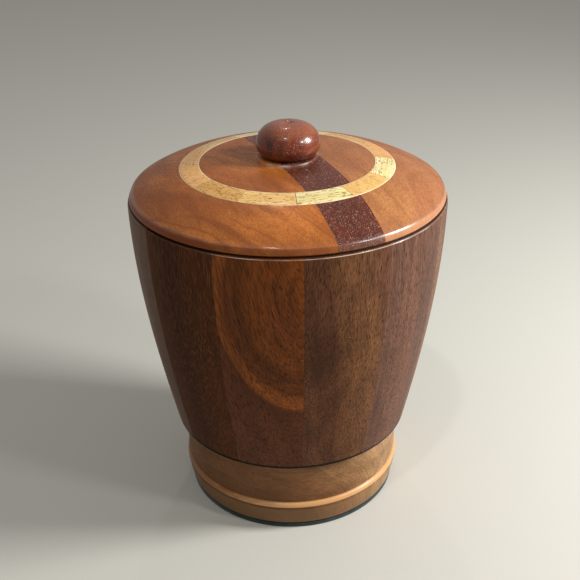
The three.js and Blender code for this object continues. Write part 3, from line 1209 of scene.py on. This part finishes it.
def makeKnob():
    low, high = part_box("knob")
    centre = ((low.x + high.x) / 2, (low.y + high.y) / 2)
    seat = crownHeight(0) + lid["bossRise"]
    underside = high.z + knobSag() - knob["height"]
    widest = underside + knob["widest"]
    radius, base = knob["radius"], knob["baseRadius"]
    lower = []
    for i in range(knob["lowerSteps"] + 1):
        angle = math.pi / 2 * (i / knob["lowerSteps"] - 1)
        r = base + (radius - base) * abs(math.cos(angle)) ** knob["undercut"]
        lower.append((r, widest + (widest - seat) * math.sin(angle)))
    upper = []
    for i in range(1, knob["upperSteps"]):
        r = radius * math.cos(math.pi / 2 * i / knob["upperSteps"]) ** knob["fullness"]
        if r > knob["dimpleRadius"]:
            upper.append((r, widest + knobRise(r)))
    dimple = []
    for i in range(knob["dimpleSteps"]):
        share = 1 - i / knob["dimpleSteps"]
        r = share * knob["dimpleRadius"]
        dimple.append((r, widest + knobRise(r) - knob["dimpleDepth"] * (1 - share ** 2) ** 2))
    tenon = knob["tenonRadius"]
    outline = [(tenon, low.z), (tenon, seat), *lower, *upper, *dimple]
    piece = turned("knob_turned", outline, knob["corners"], centre)
    shadeTop, sheenFoot = seat + knob["shadeReach"] / 2, high.z - knob["sheenTop"] / 2
    # painted shade on the knob's lower part and painted sheen on its top
    marks = [
        edgeMark(low.z, shadeTop, knob["shadeTone"], knob["shadeDepth"], knob["shadeReach"]),
        edgeMark(sheenFoot, high.z, knob["paleTone"], knob["paleDepth"], knob["sheenTop"]),
    ]
    look = {**knobWood, "edgeMarks": marks}
    wood = makeWood("knob wood", look, standing(knob["grainAzimuth"]))
    settle(piece, "knob", "lid", wood)


makeLid()
makeKnob()
print("lid boards and knob made")


# The inlaid ring of pale segments

ringWood = {
    "pith": (-60 * mm, 150 * mm),
    "reach": (15 * mm, 25 * mm),
    "waviness": 3 * mm,
    "ringWidth": 1.6 * mm,
    "ringDepth": 0.12,
    "mottleDepth": 0.1,
    "lateTone": "a8722e",
    "fibreTone": "b07c3a",
    "fibreDepth": 0.2,
    "streakWidth": 0.5 * mm,
    "streakLength": 12 * mm,
    "streakDepth": 0.35,
    "poreTone": "4d330c",
    "poreWidth": 0.45 * mm,
    "poreLength": 2.4 * mm,
    "poreCover": 0.56,
    "lacquer": 0.15,
    "shine": 0.3,
    "roughness": 0.38,
}

# Of each segment: two tones, the depth of its flecks, and whether its grain runs across it
ringLooks = [
    ("fff2b8", "eddc92", 0.9, False),
    ("f0c074", "e0aa5c", 0.45, True),
    ("fdf0ba", "efdf9a", 0.7, False),
    ("ebb070", "dc9e5e", 0.4, True),
    ("efc48c", "dcae72", 0.6, False),
    ("fbe4bc", "ecd0a0", 0.6, False),
    ("f4d4a4", "e4be88", 0.4, True),
    ("f2cb96", "dcb47c", 0.5, False),
    ("fac488", "e6ae70", 0.5, False),
    ("fcc07a", "eaac64", 0.4, True),
    ("f4bf70", "e2a85a", 0.8, False),
    ("ffd68a", "f5c273", 0.9, False),
]


def makeRing():
    low = crownHeight(ringInner) - ring["depth"] + ring["floorGap"]
    edge = ring["edgeRound"]
    bevel = ring["edgeShare"] * edge
    outline = [
        (ringInner, low),
        (ringOuter, low),
        (ringOuter, crownHeight(ringOuter) - edge),
        (ringOuter - bevel, crownHeight(ringOuter) - bevel),
        *crownPoints(ringOuter - edge, ringInner + edge, ring["crownSteps"]),
        (ringInner + bevel, crownHeight(ringInner) - bevel),
        (ringInner, crownHeight(ringInner) - edge),
        (ringInner, low),
    ]
    whole = turned("ring blank", outline)
    pale = ring["paleEdge"]
    marks = []
    for inner, outer in ((ringInner, ringInner + pale), (ringOuter - pale, ringOuter)):
        marks.append(edgeMark(crownHeight(outer), crownHeight(inner), ring["paleTone"],
                              ring["paleDepth"], ring["paleFade"], ring["palePatchy"]))
    step = 360 / ring["count"]
    cutSector(whole, ring["firstJoint"], ring["firstJoint"] + step, ring["glueLine"])
    for i in range(ring["count"]):
        node = f"ring_segment_{i + 1:02d}"
        piece = copyTurned(whole, node + "_inlaid", math.radians(i * step))
        middle = ring["firstJoint"] + (i + 0.5) * step
        tone, deepTone, flecks, crosswise = ringLooks[i]
        tones = [(0, tone), (0.5, deepTone), (1, tone)]
        look = {**ringWood, "tones": tones, "poreDepth": flecks, "seed": ring["seedStep"] * i,
                "edgeMarks": marks}
        boardTurn = lying(middle if crosswise else middle + 90)
        settle(piece, node, "lid", makeWood(node + " wood", look, boardTurn))
    bpy.data.objects.remove(whole)


makeRing()
print("ring made:", ring["count"], "segments")


# Floor, light and sky

studio = {
    "floorSize": 12,
    "floorTone": "cfccc1",
    "floorRoughness": 0.75,
    "gritScale": 900,
    "gritShade": 0.94,
    "skyTone": "ffffff",
    "skyStrength": 0.3,
    "target": (0, 0, 90 * mm),
}

# Each lamp's direction from the target, its distance, its size and its watts
lamps = {
    "desk lamp": ((0.852, -0.096, 0.515), 0.7, (0.17, 0.2), 5.8),
    "side lamp": ((0.687, -0.446, 0.574), 0.9, (0.1, 0.1), 1.3),
    "front ceiling lamp": ((-0.13, -0.41, 0.9), 1.7, (0.07, 0.07), 3),
    "back ceiling lamp": ((-0.03, 0.62, 0.78), 1.7, (0.06, 0.06), 1),
}


def makeLamp(name, direction, distance, size, watts):
    deselectAll()
    towards = Vector(direction).normalized()
    place = Vector(studio["target"]) + towards * distance
    bpy.ops.object.light_add(type="AREA", location=place)
    light = bpy.context.object
    light.name = name
    light.data.shape = "RECTANGLE"
    light.data.size, light.data.size_y = size
    light.data.energy = watts
    light.rotation_euler = towards.to_track_quat("Z", "Y").to_euler()


def makeFloor():
    deselectAll()
    bpy.ops.mesh.primitive_plane_add(size=studio["floorSize"], location=(0, 0, cadBox[0][2]))
    floor = bpy.context.object
    floor.name = "studio floor"
    material, tree, place = newMaterial("pale floor")
    grit = noise(tree, place, studio["gritScale"], 4.0)
    tone = linear(studio["floorTone"])
    darker = [c * studio["gritShade"] for c in tone[:3]] + [1]
    addSurface(tree, {"Base Color": blend(tree, grit, darker, tone),
                      "Roughness": studio["floorRoughness"]})
    floor.data.materials.append(material)


def makeSky():
    world = bpy.data.worlds.new("studio")
    world.use_nodes = True
    tree = world.node_tree
    tree.nodes.clear()
    inputs = {"Color": linear(studio["skyTone"]), "Strength": studio["skyStrength"]}
    sky = add(tree, "ShaderNodeBackground", inputs)
    add(tree, "ShaderNodeOutputWorld", {"Surface": sky.outputs[0]})
    bpy.context.scene.world = world


for lampName, lampPlan in lamps.items():
    makeLamp(lampName, *lampPlan)
makeFloor()
makeSky()
bpy.context.scene.view_settings.view_transform = "Standard"
print("studio lit")
